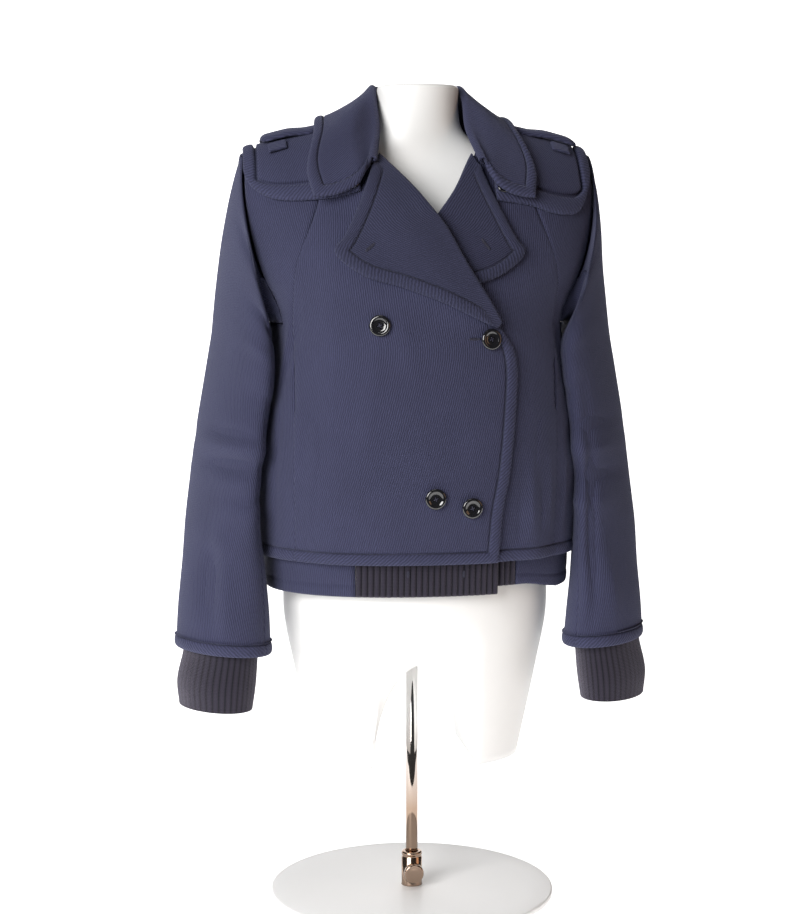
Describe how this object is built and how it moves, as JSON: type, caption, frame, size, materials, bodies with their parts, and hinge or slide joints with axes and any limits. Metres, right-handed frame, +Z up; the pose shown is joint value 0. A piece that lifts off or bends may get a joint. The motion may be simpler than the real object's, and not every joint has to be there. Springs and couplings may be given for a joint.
{
  "type": "blazer on a dress form",
  "caption": "Cropped double-breasted navy wool blazer with rib-knit cuffs and waistband, worn open-necked by a limbless dress form on a pole stand.",
  "frame": {"origin": "centre of the round base's flat underside", "axes": "+Z up; the wearer faces -Y, and the wearer's left is at +X"},
  "size_m": [0.5445, 0.33, 0.9347],
  "materials": {
    "twill": "navy wool cavalry twill with a soft nap",
    "rib": "very dark navy wool rib knit",
    "button": "black, polished",
    "form_white": "smooth white paint over a moulded shell",
    "base_white": "white powder coat on steel",
    "chrome": "polished chrome plate"
  },
  "bodies": {
    "stand": {"stand_base": "base_white", "stand_socket": "chrome"},
    "upper": {"back": "twill", "front_right": "twill", "front_left": "twill", "side_right": "twill", "side_left": "twill", "sleeve_top_right": "twill", "sleeve_top_left": "twill", "sleeve_under_right": "twill", "sleeve_under_left": "twill", "cuff_right": "rib", "cuff_left": "rib", "gun_flap_right": "twill", "gun_flap_left": "twill", "epaulette_right": "twill", "epaulette_left": "twill", "epaulette_loop_right": "twill", "epaulette_loop_left": "twill", "pocket_right": "twill", "pocket_left": "twill", "collar_button_right": "button", "collar_button_left": "button", "lapel_right": "twill", "lapel_left": "twill", "collar": "twill", "waistband": "twill", "waist_rib_right": "rib", "waist_rib_left": "rib", "button_1": "button", "button_2": "button", "button_3": "button", "button_4": "button", "form": "form_white", "stand_pole": "chrome"},
    "knob": {"clamp_knob": "chrome"}
  },
  "joints": [
    {"name": "pole_swivel", "type": "hinge", "parent": "stand", "child": "upper", "pos_m": [0, 0, 0.03], "axis": [0, 0, 1], "continuous": true},
    {"name": "clamp_knob_turn", "type": "hinge", "parent": "stand", "child": "knob", "pos_m": [0, -0.0126, 0.026], "axis": [0, -1, 0], "continuous": true}
  ]
}
